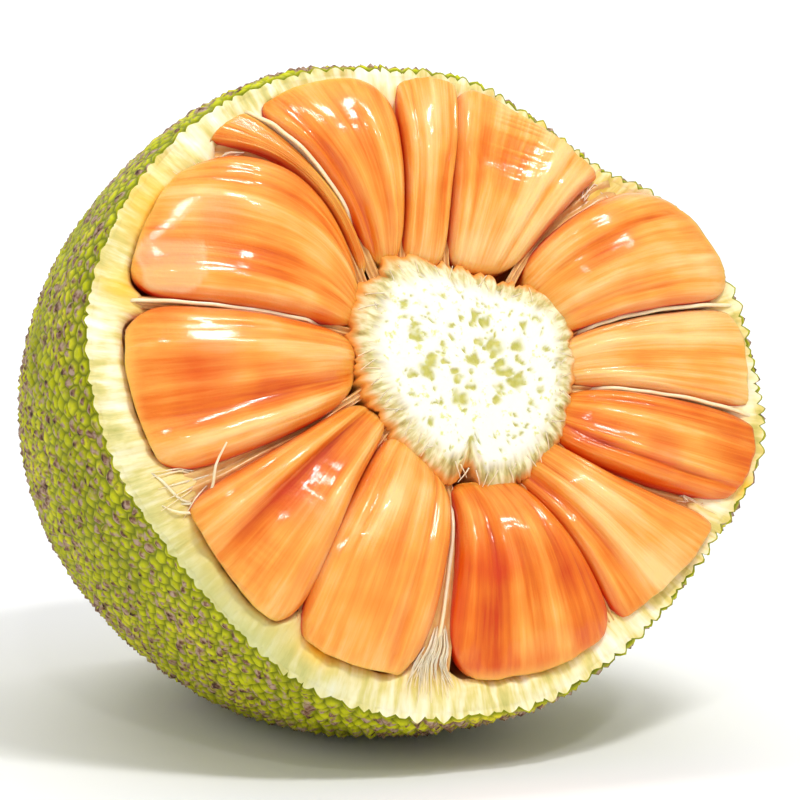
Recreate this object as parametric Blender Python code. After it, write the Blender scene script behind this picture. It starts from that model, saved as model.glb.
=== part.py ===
# Cut jackfruit: the end of a whole fruit with its cut face towards the viewer, lying on a small flat spot.
# Units are metres and +Z is up. The origin is the centre of the flat spot that the fruit rests on.
#
# Most shapes are worked out in the frame of the cut face: u runs to the right on the face, v runs up it,
# and h stands out of it, so that -h is the depth into the fruit. place() turns such a point to the world.

import math
import random

import bmesh
import bpy
from mathutils import Vector

MM = 0.001

# The cut face
FACE_LEAN = math.radians(20.0)            # how far the top of the face leans back
FACE_CENTRE = Vector((6.7, -79.5, 128.6)) * MM
FACE_RADII = [125, 124, 119, 107, 108, 113, 114, 118, 121, 123, 124, 124,
              121, 117, 113, 114, 117, 118, 117, 117, 115, 115, 118, 127]   # mm, each 15 degrees from +u

# The body behind the face
FRUIT_DEPTH = 220.0 * MM                  # from the face to the far end
SHOULDER_DEPTH = 25.0 * MM                # where the body is at its widest
SHOULDER_BULGE = 0.03                     # how much wider than the face it is there
BOTTOM_BULGE_LOSS = 0.8                   # the underside bulges this much less
END_POWER = 2.0
END_ROUNDNESS = 2.2
AXIS_SKEW = 0.05                          # the body's axis drifts this far per unit of depth, left and up
FAR_ROUNDING = 0.7                        # how much the far end loses the face's own outline

# The rind and its spines
SPINE_HEIGHT = 3.2 * MM
RIND_THICKNESS = 1.7 * MM                 # below the foot of the spines
SPINE_COUNT_ON_SPHERE = 1450              # before the part beyond the cut face is removed
CAP_ANGLE = math.radians(112.0)           # the share of the sphere that the fruit's skin is mapped from
AREA_STEPS, AREA_SIDES = 400, 12          # how finely the skin's area is added up
SPINE_JITTER, SPINE_SEED = 0.16, 5        # how far each spine wanders, as a share of the spacing
FLAT_FADE = 6.0 * MM                      # spines shrink to nothing within this height of the ground

# The white flesh and its trough
FIT_GAP = 0.35 * MM                       # between pieces that touch
FACET_ALLOWANCE = 1.1 * MM                # what an aril leaves to flat-sided walls that curve
SKIN_GAP = 0.45 * MM                      # between the rind's inner wall and the flesh
COLUMNS = 48
BODY_ROWS, FRONT_ROWS = 12, 4
MEAN_FACE_RADIUS = 118.0 * MM
BAND_MEAN, BAND_SWING, BAND_LEAST = 11.0 * MM, 7.0 * MM, 8.2 * MM
BAND_WIDEST_AT = math.radians(215.0)
DIP_AT, DIP_WIDTH, DIP_DEPTH = math.radians(222.0), math.radians(14.0), 4.5 * MM    # the band is narrower here
TROUGH_DEPTH = 24.0 * MM
TROUGH_SLOPE = 0.6                        # run of the outer wall for each unit of depth

# The core
CORE_CENTRE = (16.0, 4.0)                 # mm on the face
CORE_RADII = [34, 38, 31, 32, 41, 40, 34, 31, 33, 37, 36, 34]   # mm at the face, each 30 degrees
CORE_SLOPE = 0.35
CORE_TOP = 3.0 * MM
CORE_CROWN = 1.5 * MM
CORE_COLUMNS, CORE_SIDE_ROWS, CORE_CAP_ROWS = 30, 3, 2

# The seams between the arils, in turn counterclockwise from the one above aril_01. Each has its inner,
# middle and outer point in mm on the face, and how far each side draws back at its outer end.
SEAMS = [
    ((54, 15), (82, 21), (120, 23), 0.0),
    ((42, 42), (62, 60), (88, 73), 7.0),
    ((14, 46), (18, 76), (24, 108), 0.0),
    ((-2, 48), (0, 77), (-1, 107), 0.0),
    ((-16, 50), (-32, 78), (-55, 99), 0.0),
    ((-20, 47), (-42, 78), (-77, 84), 4.0),
    ((-27, 21), (-62, 28), (-104, 34), 0.0),
    ((-30, -5), (-62, -20), (-99, -33), 4.5),
    ((-16, -16), (-37, -43), (-60, -84), 0.0),
    ((4, -36), (0, -60), (-13, -103), 4.0),
    ((30, -35), (45, -59), (59, -92), 0.0),
    ((45, -21), (69, -38), (108, -52), 3.0),
    ((56, -3), (85, -8), (122, -18), 0.0),
]
SEAM_HALF_GAP = 0.4 * MM                  # between arils that touch
MEMBRANE_HALF_GAP = 1.0 * MM              # where a membrane stands between them
ARIL_CREST = [6, 12, 9, 9, 9, 4, 10, 10, 11, 10, 10, 9, 8]   # mm above the face
CREST_PLACE = 0.6                         # where along an aril its crest is
ARIL_INNER_TOP = -2.5 * MM
ARIL_OUTER_TOP = 3.0 * MM
ARIL_FOOT = -22.5 * MM
ARIL_END_LIFT = 13.0 * MM                 # how far its underside rises to its outer end
ARIL_END_REACH = 7.0 * MM                 # how far the middle of its outer end stands past its corners
ARIL_WIDEST = 0.74                        # the share of its height at which it is widest
ARIL_INWARD = 0.05                        # how far it runs on towards the core, as a share of its seams
ARIL_BLUNTNESS, ARIL_END_TIGHTNESS = 7.0, 0.32
ARIL_ACROSS, ARIL_UP = 0.58, 0.8          # 1 for an ellipse across, less for a boxier form
ARIL_SIDES = 14
ARIL_ROWS = 13

# The pale membranes that stand in some of the seams: the seam's place in SEAMS and the crest in mm
MEMBRANES = [(0, 3.0), (4, 2.0), (6, 4.0), (7, 1.0), (9, 1.5), (12, 2.0)]
MEMBRANE_THICKNESS = 0.7 * MM
MEMBRANE_ROOT = 0.6 * MM                  # how far it is sunk in the trough's floor and wall
MEMBRANE_START = 0.06                     # where it begins along the seam, at its crest
MEMBRANE_INNER_TOP = -9.0 * MM
MEMBRANE_RISE = 1.4                       # how fast its crest climbs from the core
MEMBRANE_COLUMNS, MEMBRANE_ROWS = 14, 4


def periodic(values, angle):
    """A smooth closed curve through equally spaced values, read at an angle."""
    n = len(values)
    x = (angle / math.tau * n) % n
    i = int(x)
    f = x - i
    a, b, c, d = (values[(i + k) % n] for k in (-1, 0, 1, 2))
    return b + 0.5 * f * (c - a + f * (2 * a - 5 * b + 4 * c - d + f * (3 * (b - c) + d - a)))


def through(points, s):
    """The parabola through three points, at s from 0 to 1."""
    a, b, c = points
    weights = ((1 - s) * (1 - 2 * s), 4 * s * (1 - s), s * (2 * s - 1))
    return [(a[k] * weights[0] + b[k] * weights[1] + c[k] * weights[2]) * MM for k in (0, 1)]


def clamp(x, low=0.0, high=1.0):
    return max(low, min(high, x))


def place(u, v, h):
    """A point of the cut face's frame in the world."""
    lean_sin, lean_cos = math.sin(FACE_LEAN), math.cos(FACE_LEAN)
    return FACE_CENTRE + Vector((u, v * lean_sin - h * lean_cos, v * lean_cos + h * lean_sin))


def body_point(angle, depth, inset=0.0):
    """A point on the fruit's outside, or on the same form drawn in by inset, in the face's frame."""
    t = max(depth, 0.0)
    rise = 1 - ((SHOULDER_DEPTH - t) / SHOULDER_DEPTH) ** 2 if t < SHOULDER_DEPTH else 1.0
    bulge = SHOULDER_BULGE * rise * (1 - BOTTOM_BULGE_LOSS * clamp(-math.sin(angle)))
    past = clamp((t - SHOULDER_DEPTH) / (FRUIT_DEPTH - SHOULDER_DEPTH))
    fall = (1 - past ** END_POWER) ** (1 / END_ROUNDNESS)
    mix = FAR_ROUNDING * clamp(t / (0.6 * FRUIT_DEPTH))
    mean = sum(FACE_RADII) / len(FACE_RADII)
    radius = (periodic(FACE_RADII, angle) * (1 - mix) + mean * mix) * MM * (1 + bulge) * fall
    shrink = 1 - inset / MEAN_FACE_RADIUS
    u = (radius * math.cos(angle) - AXIS_SKEW * t) * shrink
    v = (radius * math.sin(angle) + AXIS_SKEW * t) * shrink
    return u, v, -depth * (1 - inset / FRUIT_DEPTH)


def above_ground(point, level):
    """The world point of a face point, pressed flat where it would reach below level."""
    world = place(*point)
    world.z = max(world.z, level)
    return world


def trough_radius(angle, h):
    """The trough's outer wall: wide at the face, and drawn in with depth."""
    from_dip = (angle - DIP_AT + math.pi) % math.tau - math.pi
    band = BAND_MEAN + BAND_SWING * math.cos(angle - BAND_WIDEST_AT)
    band -= DIP_DEPTH * math.exp(-(from_dip / DIP_WIDTH) ** 2)
    return periodic(FACE_RADII, angle) * MM - max(band, BAND_LEAST) + TROUGH_SLOPE * h


def core_radius(angle, h):
    return periodic(CORE_RADII, angle) * MM - CORE_SLOPE * h


def clear_of_core(u, v, h):
    """Move a point that is too near the core straight out from it."""
    cu, cv = CORE_CENTRE[0] * MM, CORE_CENTRE[1] * MM
    angle = math.atan2(v - cv, u - cu)
    nearest = core_radius(angle, h) + FACET_ALLOWANCE
    if math.hypot(u - cu, v - cv) < nearest:
        return cu + nearest * math.cos(angle), cv + nearest * math.sin(angle)
    return u, v


def within_trough(u, v, furthest):
    """Draw a point in to a distance from the face's centre if it lies beyond."""
    shrink = min(1.0, furthest / math.hypot(u, v))
    return u * shrink, v * shrink


def material(name, colour, roughness):
    made = bpy.data.materials.new(name)
    made.use_nodes = True
    shader = made.node_tree.nodes["Principled BSDF"]
    shader.inputs["Base Color"].default_value = (*colour, 1.0)
    shader.inputs["Roughness"].default_value = roughness
    made.diffuse_color = (*colour, 1.0)
    return made


def add_object(name, bm, surface, collection):
    """Close the piece with its faces pointing out and add it to the collection."""
    bmesh.ops.recalc_face_normals(bm, faces=bm.faces[:])
    bmesh.ops.triangulate(bm, faces=bm.faces[:])
    mesh = bpy.data.meshes.new(name)
    bm.to_mesh(mesh)
    bm.free()
    mesh.materials.append(surface)
    mesh.shade_smooth()
    mesh.set_sharp_from_angle(angle=math.radians(35))
    made = bpy.data.objects.new(name, mesh)
    collection.objects.link(made)
    return made


def sphere_angles(co):
    """The turn about the pole axis and the angle down from the top pole of a sphere's vertex."""
    return math.atan2(co.y, co.x), math.acos(clamp(co.z / co.length, -1.0, 1.0))


def depth_of_row(share):
    """Depths of the body's rings, close together where the far end curves."""
    return FRUIT_DEPTH * math.sin(0.5 * math.pi * clamp(share))


def area_to_depth():
    """Depth against the share of skin area between the far end and that depth, as a lookup list."""
    table = [(0.0, FRUIT_DEPTH)]
    total = 0.0
    previous = 0.0, FRUIT_DEPTH
    for k in range(1, AREA_STEPS + 1):
        depth = FRUIT_DEPTH * (1 - (k / AREA_STEPS) ** 2)
        ring = [body_point(math.tau * j / AREA_SIDES, depth) for j in range(AREA_SIDES)]
        radius = sum(math.hypot(u + AXIS_SKEW * depth, v - AXIS_SKEW * depth) for u, v, _ in ring) / AREA_SIDES
        slant = math.hypot(radius - previous[0], depth - previous[1])
        total += math.pi * (radius + previous[0]) * slant
        table.append((total, depth))
        previous = radius, depth
    return table


def depth_at_share(table, share):
    """Depth for a share of the whole skin, running on beyond the face for shares over 1."""
    whole = table[-1][0]
    if share >= 1.0:
        return -(share - 1.0) * whole / (math.tau * MEAN_FACE_RADIUS)
    low, high = 0, len(table) - 1
    while high - low > 1:
        middle = (low + high) // 2
        if table[middle][0] / whole <= share:
            low = middle
        else:
            high = middle
    start, end = table[low], table[high]
    part = (share * whole - start[0]) / (end[0] - start[0])
    return start[1] + (end[1] - start[1]) * part


def skin_point(direction, table, is_tip):
    """Where a direction on the sphere lands on the skin: on a spine's tip or in the valley between."""
    angle = math.atan2(direction.y, direction.x)
    share = (1 + direction.z) / (1 - math.cos(CAP_ANGLE))
    depth = depth_at_share(table, share)
    valley = Vector(body_point(angle, depth, SPINE_HEIGHT))
    if not is_tip:
        return valley
    tip = Vector(body_point(angle, depth))
    fade = clamp(place(*valley).z / FLAT_FADE)
    return valley.lerp(tip, fade)


def spined_skin():
    """The outer skin as six-sided spines: tips spread evenly on a sphere, with a valley between each three."""
    draw = random.Random(SPINE_SEED)
    spacing = math.sqrt(4 * math.pi / SPINE_COUNT_ON_SPHERE)
    bm = bmesh.new()
    golden = math.pi * (3 - math.sqrt(5))
    for k in range(SPINE_COUNT_ON_SPHERE):
        z = 1 - 2 * (k + 0.5) / SPINE_COUNT_ON_SPHERE
        ring = math.sqrt(1 - z * z)
        point = Vector((ring * math.cos(golden * k), ring * math.sin(golden * k), z))
        wander = Vector([draw.uniform(-1, 1) for _ in range(3)]) * SPINE_JITTER * spacing
        bm.verts.new((point + wander).normalized())
    bmesh.ops.convex_hull(bm, input=bm.verts[:])
    tips = set(bm.verts)
    ridges = bm.edges[:]
    bmesh.ops.poke(bm, faces=bm.faces[:])
    bmesh.ops.rotate_edges(bm, edges=ridges)
    beyond = [v for v in bm.verts if v.co.z > 3 * spacing - math.cos(CAP_ANGLE)]
    tips.difference_update(beyond)
    bmesh.ops.delete(bm, geom=beyond, context="VERTS")
    table = area_to_depth()
    for vert in bm.verts:
        vert.co = skin_point(vert.co.normalized(), table, vert in tips)
    bmesh.ops.bisect_plane(bm, geom=bm.verts[:] + bm.edges[:] + bm.faces[:], dist=1e-7,
                           plane_co=(0, 0, 0), plane_no=(0, 0, 1), clear_outer=True)
    return bm


def make_rind(surface, collection):
    """The green skin: spines outside, a smooth wall inside, and the cut rim between them on the face."""
    bm = spined_skin()
    inner = bmesh.ops.create_uvsphere(bm, u_segments=COLUMNS, v_segments=2 * BODY_ROWS, radius=1.0)["verts"]
    upper = [v for v in inner if v.co.z > 1e-4]
    lower = [v for v in inner if v.co.z <= 1e-4]
    bmesh.ops.delete(bm, geom=upper, context="VERTS")
    inset = SPINE_HEIGHT + RIND_THICKNESS
    for vert in lower:
        angle, down = sphere_angles(vert.co)
        depth = depth_of_row(2 * down / math.pi - 1)
        vert.co = body_point(angle, depth, inset)
    rim = [e for e in bm.edges if e.is_boundary]
    bmesh.ops.triangle_fill(bm, edges=rim, use_beauty=True, normal=(0, 0, 1))
    inside = set(lower)
    for vert in bm.verts:
        vert.co = above_ground(vert.co, RIND_THICKNESS if vert in inside else 0.0)
    return add_object("rind", bm, surface, collection)


def membrane(seam, crest):
    """One thin wall along a seam, from under the trough's floor to its own curved crest."""
    bm = bmesh.new()
    bmesh.ops.create_grid(bm, x_segments=MEMBRANE_COLUMNS, y_segments=MEMBRANE_ROWS, size=0.5)
    for vert in bm.verts:
        along, up = vert.co.x + 0.5, vert.co.y + 0.5
        bottom = -TROUGH_DEPTH - MEMBRANE_ROOT
        start = MEMBRANE_START * (1 + 3 * (1 - up))
        s = start + (1 - start) * along
        rise = math.sin(0.5 * math.pi * clamp(MEMBRANE_RISE * s))
        top = MEMBRANE_INNER_TOP + (crest * MM - MEMBRANE_INNER_TOP) * rise
        h = bottom + (top - bottom) * up
        u, v = through(SEAMS[seam][:3], s)
        u, v = within_trough(u, v, trough_radius(math.atan2(v, u), 0.0) + MEMBRANE_ROOT)
        vert.co = (u, v, h)
    bm.normal_update()
    for vert in bm.verts:
        vert.co -= 0.5 * MEMBRANE_THICKNESS * vert.normal
    bmesh.ops.solidify(bm, geom=bm.faces[:], thickness=-MEMBRANE_THICKNESS)
    for vert in bm.verts:
        vert.co = place(*vert.co)
    bmesh.ops.recalc_face_normals(bm, faces=bm.faces[:])
    mesh = bpy.data.meshes.new("membrane")
    bm.to_mesh(mesh)
    bm.free()
    return bpy.data.objects.new("membrane", mesh)


def make_pith(surface, collection, cutters):
    """The white flesh: the fruit's inner form with the cut face in front and a trough round the core."""
    bm = bmesh.new()
    bmesh.ops.create_uvsphere(bm, u_segments=COLUMNS, v_segments=BODY_ROWS + FRONT_ROWS, radius=1.0)
    inset = SPINE_HEIGHT + RIND_THICKNESS + SKIN_GAP
    core = Vector(CORE_CENTRE) * MM
    for vert in bm.verts:
        angle, down = sphere_angles(vert.co)
        row = round(down / math.pi * (BODY_ROWS + FRONT_ROWS))
        if row >= FRONT_ROWS:
            depth = depth_of_row((row - FRONT_ROWS) / BODY_ROWS)
            vert.co = body_point(angle, depth, inset)
            continue
        floor = -TROUGH_DEPTH
        foot = Vector((math.cos(angle), math.sin(angle))) * trough_radius(angle, floor)
        if row == FRONT_ROWS - 1:
            brim = trough_radius(angle, 0.0)
            vert.co = (math.cos(angle) * brim, math.sin(angle) * brim, 0.0)
        else:
            flat = core.lerp(foot, row / (FRONT_ROWS - 2))
            vert.co = (flat.x, flat.y, floor)
    for vert in bm.verts:
        vert.co = above_ground(vert.co, RIND_THICKNESS + SKIN_GAP)
    pith = add_object("pith", bm, surface, collection)
    for seam, crest in MEMBRANES:
        cutters.objects.link(membrane(seam, crest))
    union = pith.modifiers.new("membranes", "BOOLEAN")
    union.operation = "UNION"
    union.solver = "EXACT"
    union.operand_type = "COLLECTION"
    union.collection = cutters
    bpy.context.view_layer.update()
    joined = bpy.data.meshes.new_from_object(pith.evaluated_get(bpy.context.evaluated_depsgraph_get()))
    pith.modifiers.clear()
    pith.data = joined
    for used in cutters.objects[:]:
        bpy.data.objects.remove(used)
    return pith


def make_core(surface, collection):
    """The core: a blunt stump with sloping sides and a gently crowned top, standing on the trough's floor."""
    rows = 2 * CORE_CAP_ROWS + CORE_SIDE_ROWS
    foot = -TROUGH_DEPTH + FIT_GAP
    bm = bmesh.new()
    bmesh.ops.create_uvsphere(bm, u_segments=CORE_COLUMNS, v_segments=rows, radius=1.0)
    for vert in bm.verts:
        angle, down = sphere_angles(vert.co)
        row = round(down / math.pi * rows)
        if row <= CORE_CAP_ROWS:
            share = row / CORE_CAP_ROWS
            h = CORE_TOP + CORE_CROWN * (1 - share ** 2)
        elif row >= rows - CORE_CAP_ROWS:
            share = (rows - row) / CORE_CAP_ROWS
            h = foot
        else:
            share = 1.0
            h = CORE_TOP + (foot - CORE_TOP) * (row - CORE_CAP_ROWS) / CORE_SIDE_ROWS
        radius = share * core_radius(angle, min(h, CORE_TOP))
        u = CORE_CENTRE[0] * MM + radius * math.cos(angle)
        v = CORE_CENTRE[1] * MM + radius * math.sin(angle)
        vert.co = place(u, v, h)
    return add_object("core", bm, surface, collection)


def seam_gap(index, s):
    """How far an aril's side stays from a seam's own line."""
    index %= len(SEAMS)
    walled = any(seam == index for seam, _ in MEMBRANES)
    return (MEMBRANE_HALF_GAP if walled else SEAM_HALF_GAP) + SEAMS[index][3] * MM * s * s


def aril_point(index, s, across, height):
    """A point of one aril: s along it, across and height each from -1 to 1."""
    along = s * (1 + ARIL_INWARD) - ARIL_INWARD
    right, left = through(SEAMS[index - 1][:3], along), through(SEAMS[index][:3], along)
    span = math.dist(left, right)
    gap_right = seam_gap(index - 1, s)
    gap_left = seam_gap(index, s)
    share = gap_right / span + (1 - (gap_right + gap_left) / span) * 0.5 * (1 + across)
    u = right[0] + (left[0] - right[0]) * share
    v = right[1] + (left[1] - right[1]) * share
    longer = 1 + ARIL_END_REACH * s ** 4 * (1 - across * across) / math.hypot(u, v)
    u, v = u * longer, v * longer
    crest = ARIL_CREST[index] * MM
    if s < CREST_PLACE:
        top = ARIL_INNER_TOP + (crest - ARIL_INNER_TOP) * math.sin(0.5 * math.pi * s / CREST_PLACE)
    else:
        top = crest - (crest - ARIL_OUTER_TOP) * ((s - CREST_PLACE) / (1 - CREST_PLACE)) ** 2
    foot = ARIL_FOOT + ARIL_END_LIFT * s ** 4
    widest = foot + (top - foot) * ARIL_WIDEST
    h = widest + (top - widest if height > 0 else widest - foot) * height
    u, v = clear_of_core(u, v, h)
    u, v = within_trough(u, v, trough_radius(math.atan2(v, u), h) - FACET_ALLOWANCE)
    return u, v, h


def make_aril(index, surface, collection):
    """One aril, the fleshy bulb round a seed: blunt ended, rounded above, filling the space of its seams."""
    bm = bmesh.new()
    bmesh.ops.create_uvsphere(bm, u_segments=ARIL_SIDES, v_segments=ARIL_ROWS, radius=1.0)
    for vert in bm.verts:
        turn, down = sphere_angles(vert.co)
        s = 0.5 * (1 - math.cos(down))
        swell = (1 - abs(2 * s - 1) ** ARIL_BLUNTNESS) ** ARIL_END_TIGHTNESS
        across = swell * math.copysign(abs(math.cos(turn)) ** ARIL_ACROSS, math.cos(turn))
        height = swell * math.copysign(abs(math.sin(turn)) ** ARIL_UP, math.sin(turn))
        vert.co = place(*aril_point(index, s, across, height))
    return add_object(f"aril_{index + 1:02d}", bm, surface, collection)


def main():
    for old in list(bpy.data.objects):
        bpy.data.objects.remove(old)
    fruit = bpy.data.collections.new("jackfruit")
    cutters = bpy.data.collections.new("membranes_to_join")
    bpy.context.scene.collection.children.link(fruit)
    bpy.context.scene.collection.children.link(cutters)
    make_rind(material("rind", (0.30, 0.40, 0.03), 0.6), fruit)
    make_pith(material("pith", (0.85, 0.86, 0.62), 0.5), fruit, cutters)
    make_core(material("core", (0.90, 0.90, 0.78), 0.6), fruit)
    flesh = material("aril_flesh", (0.88, 0.24, 0.04), 0.25)
    for index in range(len(SEAMS)):
        make_aril(index, flesh, fruit)


main()
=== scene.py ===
# %% [markdown]
# # A cut jackfruit
# The fruit lies on a small flat spot with its cut face towards us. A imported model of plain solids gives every
# piece its size and place. This lesson dresses it: a rind of thousands of small spines, white fibrous flesh,
# a porous core and thirteen wet orange arils with thin skins of pith between them.

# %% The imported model
import math
import random

import bmesh
import bpy
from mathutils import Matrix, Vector, noise


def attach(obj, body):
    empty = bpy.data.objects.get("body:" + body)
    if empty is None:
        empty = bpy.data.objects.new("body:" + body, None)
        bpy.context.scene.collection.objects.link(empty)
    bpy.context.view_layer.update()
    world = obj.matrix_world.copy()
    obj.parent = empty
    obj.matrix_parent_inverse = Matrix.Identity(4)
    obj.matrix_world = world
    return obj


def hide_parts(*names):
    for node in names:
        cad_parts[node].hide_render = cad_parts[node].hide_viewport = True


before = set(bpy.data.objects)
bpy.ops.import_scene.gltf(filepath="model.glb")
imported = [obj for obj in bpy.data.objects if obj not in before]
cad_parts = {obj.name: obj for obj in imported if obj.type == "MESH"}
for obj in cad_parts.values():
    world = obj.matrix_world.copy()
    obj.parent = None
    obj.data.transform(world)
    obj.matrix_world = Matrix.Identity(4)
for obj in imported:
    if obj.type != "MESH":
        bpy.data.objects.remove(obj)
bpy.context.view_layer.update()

MM = 0.001

# %% [markdown]
# Everything on the fruit is placed in the frame of its cut face: u runs to the right on the face, v runs up
# it and h stands out of it. The face leans back, so one function turns such a point to the world. The body
# behind the face is one formula, a radius for each angle and depth, which keeps all the layers parallel.

# %% The face and the body
FACE_LEAN = math.radians(20.0)
FACE_CENTRE = Vector((6.7, -79.5, 128.6)) * MM
FACE_RADII = [125, 124, 119, 107, 108, 113, 114, 118, 121, 123, 124, 124,
              121, 117, 113, 114, 117, 118, 117, 117, 115, 115, 118, 127]   # mm, each 15 degrees
MEAN_RADIUS = sum(FACE_RADII) / len(FACE_RADII)
FRUIT_DEPTH = 220.0 * MM
SHOULDER_DEPTH, SHOULDER_BULGE, BOTTOM_BULGE_LOSS = 25.0 * MM, 0.03, 0.8
END_POWER, END_ROUNDNESS, FAR_ROUNDING, AXIS_SKEW = 2.0, 2.2, 0.7, 0.05
MEAN_FACE_RADIUS = 118.0 * MM
SPINE_HEIGHT, RIND_THICKNESS = 3.2 * MM, 1.7 * MM
RIND_INSET = SPINE_HEIGHT + RIND_THICKNESS


def clamp(x, low=0.0, high=1.0):
    return max(low, min(high, x))


def smooth(low, high, x):
    x = clamp((x - low) / (high - low))
    return x * x * (3 - 2 * x)


def bell(x, centre, width):
    return math.exp(-((x - centre) / width) ** 2)


def periodic(values, angle):
    """A smooth closed curve through equally spaced values, read at an angle."""
    n = len(values)
    x = (angle / math.tau * n) % n
    i = int(x)
    f = x - i
    a, b, c, d = (values[(i + k) % n] for k in (-1, 0, 1, 2))
    return b + 0.5 * f * (c - a + f * (2 * a - 5 * b + 4 * c - d + f * (3 * (b - c) + d - a)))


def place(u, v, h):
    lean_sin, lean_cos = math.sin(FACE_LEAN), math.cos(FACE_LEAN)
    return FACE_CENTRE + Vector((u, v * lean_sin - h * lean_cos, v * lean_cos + h * lean_sin))


def body_point(angle, depth, inset=0.0):
    t = max(depth, 0.0)
    rise = 1 - ((SHOULDER_DEPTH - t) / SHOULDER_DEPTH) ** 2 if t < SHOULDER_DEPTH else 1.0
    bulge = SHOULDER_BULGE * rise * (1 - BOTTOM_BULGE_LOSS * clamp(-math.sin(angle)))
    past = clamp((t - SHOULDER_DEPTH) / (FRUIT_DEPTH - SHOULDER_DEPTH))
    fall = (1 - past ** END_POWER) ** (1 / END_ROUNDNESS)
    mix = FAR_ROUNDING * clamp(t / (0.6 * FRUIT_DEPTH))
    radius = (periodic(FACE_RADII, angle) * (1 - mix) + MEAN_RADIUS * mix) * MM * (1 + bulge) * fall
    shrink = 1 - inset / MEAN_FACE_RADIUS
    u = (radius * math.cos(angle) - AXIS_SKEW * t) * shrink
    v = (radius * math.sin(angle) + AXIS_SKEW * t) * shrink
    return u, v, -depth * (1 - inset / FRUIT_DEPTH)


def turn_from(start, angle):
    """The turn from one angle to another, the short way round."""
    return (angle - start + math.pi) % math.tau - math.pi


def above_ground(point, level):
    world = place(*point)
    world.z = max(world.z, level)
    return world


print("the cut face is about", round(2 * MEAN_RADIUS), "mm across and leans back 20 degrees")


# %% [markdown]
# Each finished mesh becomes an object in one function, which also says which solid it replaces. Attributes on
# the mesh carry what a material needs to know about the surface, such as how near a point is to a spine's
# tip, so that colour follows the form.

# %% Finishing a piece
def sphere_angles(co):
    return math.atan2(co.y, co.x), math.acos(clamp(co.z / co.length, -1.0, 1.0))


def add_piece(name, bm, surfaces, replaces=()):
    bmesh.ops.recalc_face_normals(bm, faces=bm.faces[:])
    mesh = bpy.data.meshes.new(name)
    bm.to_mesh(mesh)
    bm.free()
    for surface in surfaces:
        mesh.materials.append(surface)
    mesh.shade_smooth()
    piece = bpy.data.objects.new(name, mesh)
    bpy.context.scene.collection.objects.link(piece)
    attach(piece, "root")
    if replaces:
        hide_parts(*replaces)
    print(name, "has", sum(len(p.vertices) - 2 for p in mesh.polygons), "triangles")
    return piece


# %% [markdown]
# Materials are built from a colour written as sRGB hex, turned to the linear values that a shader works
# with, and from one function that adds a node with its settings and links. Short helpers stand for the few
# kinds of node that every material here uses. The size of a pattern is how many of its clouds fit in a metre.

# %% Helpers for materials
def colour(hex_code):
    parts = [int(hex_code[k:k + 2], 16) / 255 for k in (0, 2, 4)]
    linear = [c / 12.92 if c <= 0.04045 else ((c + 0.055) / 1.055) ** 2.4 for c in parts]
    return (*linear, 1.0)


def add_node(tree, kind, inputs, stops=(), **settings):
    """A node with its settings, its inputs and, for a ramp, its stops. A text stands for a colour."""
    made = tree.nodes.new("ShaderNode" + kind)
    for name, value in settings.items():
        setattr(made, name, value)
    for key, value in inputs.items():
        if isinstance(value, bpy.types.NodeSocket):
            tree.links.new(value, made.inputs[key])
        else:
            made.inputs[key].default_value = colour(value) if isinstance(value, str) else value
    if stops:
        elements = made.color_ramp.elements
        while len(elements) < len(stops):
            elements.new(0.5)
        for element, (position, value) in zip(elements, stops):
            element.position = position
            element.color = colour(value) if isinstance(value, str) else (value, value, value, 1.0)
    return made


def new_material(name, **settings):
    made = bpy.data.materials.new(name)
    made.use_nodes = True
    shader = made.node_tree.nodes["Principled BSDF"]
    for key, value in settings.items():
        shader.inputs[key.replace("_", " ")].default_value = value
    print("material", name)
    return made, made.node_tree, shader


def mixed(tree, share, first, second):
    """The colour between two, by a share from 0 to 1."""
    return add_node(tree, "Mix", {0: share, 6: first, 7: second}, data_type="RGBA").outputs[2]


def ramp(tree, share, *stops):
    """A colour or a value read from stops, by a share from 0 to 1."""
    return add_node(tree, "ValToRGB", {0: share}, stops).outputs[0]


def scaled(tree, value, factor, rest=0.0):
    """A value times a factor, plus the rest."""
    return add_node(tree, "Math", {0: value, 1: factor, 2: rest}, operation="MULTIPLY_ADD").outputs[0]


def between(tree, value, low, high):
    """How far a value is from a low to a high one, from 0 to 1."""
    return add_node(tree, "MapRange", {"Value": value, "From Min": low, "From Max": high}).outputs[0]


def clouds(tree, where, a_metre, detail=2.0, roughness=0.5):
    """Soft noise about a half."""
    inputs = {"Vector": where, "Scale": a_metre, "Detail": detail, "Roughness": roughness}
    return add_node(tree, "TexNoise", inputs).outputs["Fac"]


def object_place(tree):
    return add_node(tree, "TexCoord", {}).outputs["Object"]


def mark(tree, name, kind="Fac"):
    """What the mesh says of itself at a point, under a name."""
    return add_node(tree, "Attribute", {}, attribute_name=name).outputs[kind]


def three_marks(tree, name):
    return list(add_node(tree, "SeparateXYZ", {0: mark(tree, name, "Vector")}).outputs)


def stretched(tree, where, *scale):
    return add_node(tree, "Mapping", {"Vector": where, "Scale": scale}).outputs[0]


def add_bump(tree, shader, height, distance, strength, socket="Normal"):
    made = add_node(tree, "Bump", {"Height": height, "Distance": distance, "Strength": strength})
    tree.links.new(made.outputs[0], shader.inputs[socket])

# %% [markdown]
# The skin of a jackfruit is a mosaic of low six-sided spines: lime green on their flanks, darker green in the
# valleys and brown and corky at the tips. Half of the look is in the mesh, which marks its tips. The rest is
# mottling in three sizes: yellow-green patches of 36 mm, spots of 7 mm that choose which tips are brown, and
# a grain of 2 mm in the cork.

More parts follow.
